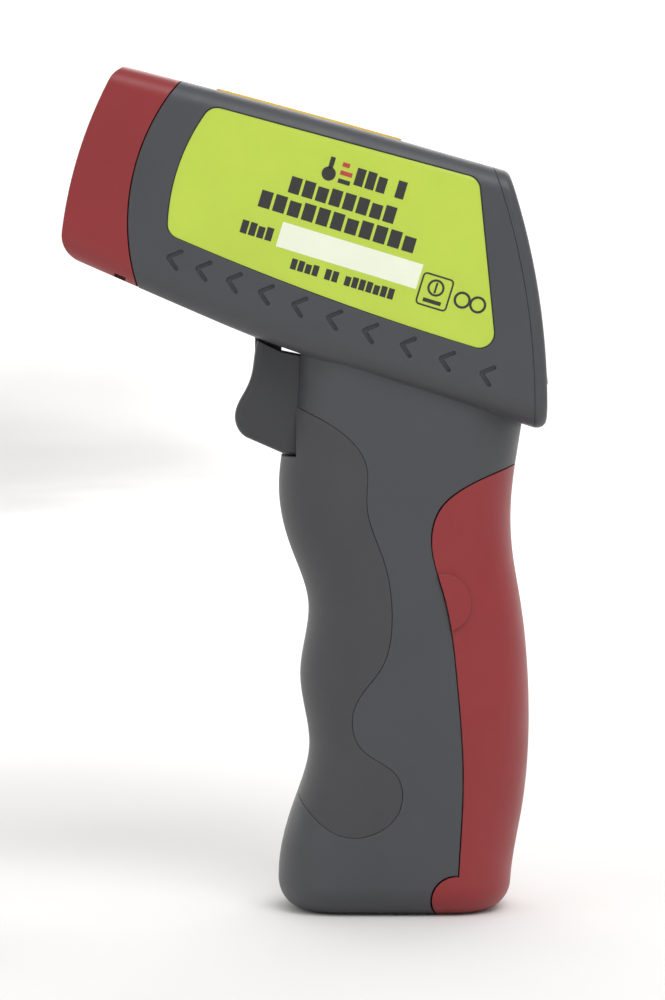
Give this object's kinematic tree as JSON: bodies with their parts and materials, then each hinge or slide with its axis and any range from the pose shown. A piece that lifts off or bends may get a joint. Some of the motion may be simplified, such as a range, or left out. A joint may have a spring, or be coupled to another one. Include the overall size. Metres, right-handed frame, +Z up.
{
  "type": "infrared thermometer",
  "caption": "Pistol-grip infrared thermometer with a tilted measuring head, red nozzle cap, trigger, rear display and hinged battery door.",
  "frame": {"origin": "centre of the flat foot at the bottom of the handle", "axes": "+Z up along the standing handle, -X towards the nozzle and trigger, +X towards the display, +Y to the instrument's right side"},
  "size_m": [0.0994, 0.042, 0.1753],
  "materials": {
    "housing": "fine textured dark grey moulded plastic",
    "red_plastic": "satin red moulded plastic",
    "grip": "soft overmoulded grip, matt",
    "trigger": "satin dark grey moulded plastic",
    "label": "printed lime green film label",
    "top_label": "plain yellow film label",
    "black_plastic": "matt black plastic",
    "lens": "coated infrared lens",
    "window": "clear display window",
    "lcd": "grey-green liquid crystal panel",
    "backlight": "white light guide",
    "rubber": "black silicone rubber",
    "key": "soft grey silicone key",
    "steel": "bright steel",
    "brass": "machined brass",
    "board": "green solder mask",
    "battery_case": "plain printed metal jacket",
    "foam": "black open cell foam",
    "wire": "vinyl wire insulation"
  },
  "bodies": {
    "housing": {"housing_left": "housing", "housing_right": "housing", "nozzle_cap": "red_plastic", "nozzle_hood": "black_plastic", "ir_lens": "lens", "lens_seal": "rubber", "sensor_barrel": "brass", "thermopile": "steel", "laser_module": "brass", "laser_window": "window", "sensor_cradle": "black_plastic", "left_label": "label", "right_label": "label", "top_label": "top_label", "grip_pad_left": "grip", "grip_pad_right": "grip", "door_hinge_pin": "steel", "battery": "battery_case", "battery_terminals": "steel", "snap_connector": "black_plastic", "battery_leads": "wire", "trigger_pin": "steel", "trigger_switch": "black_plastic", "rear_bezel": "housing", "display_window": "window", "lcd_panel": "lcd", "backlight": "backlight", "display_board": "board", "contact_strips": "rubber", "key_domes": "rubber", "main_board": "board", "processor_chip": "black_plastic", "amplifier_chip": "black_plastic", "board_connector": "backlight", "buzzer": "black_plastic", "display_ribbon": "brass", "housing_screws": "steel"},
    "battery_door": {"battery_door": "red_plastic", "door_foam": "foam"},
    "trigger": {"trigger": "trigger", "trigger_spring": "steel"},
    "switch_plunger": {"switch_plunger": "key"},
    "key_left": {"key_left": "key"},
    "key_middle": {"key_middle": "key"},
    "key_right": {"key_right": "key"}
  },
  "joints": [
    {"name": "trigger_pull", "type": "hinge", "parent": "housing", "child": "trigger", "pos_m": [-0.0272, 0, 0.1227], "axis": [0, -1, 0], "range_deg": [0, 8], "stiffness_Nm_per_rad": 0.25, "springref_deg": -2.86, "deforming": ["trigger_spring"]},
    {"name": "battery_door_hinge", "type": "hinge", "parent": "housing", "child": "battery_door", "pos_m": [0.0114, 0, 0.0036], "axis": [0, 1, 0], "range_deg": [0, 60]},
    {"name": "switch_press", "type": "slide", "parent": "housing", "child": "switch_plunger", "axis": [1, 0, 0], "range_m": [0, 0.0014]},
    {"name": "key_left_press", "type": "slide", "parent": "housing", "child": "key_left", "axis": [-0.9884, 0, -0.152], "range_m": [0, 0.0006], "stiffness_N_per_m": 1500},
    {"name": "key_middle_press", "type": "slide", "parent": "housing", "child": "key_middle", "axis": [-0.9884, 0, -0.152], "range_m": [0, 0.0006], "stiffness_N_per_m": 1500},
    {"name": "key_right_press", "type": "slide", "parent": "housing", "child": "key_right", "axis": [-0.9884, 0, -0.152], "range_m": [0, 0.0006], "stiffness_N_per_m": 1500}
  ],
  "couplings": [
    {"joint": "switch_press", "follows": "trigger_pull", "m_per_rad": 0.0095}
  ]
}
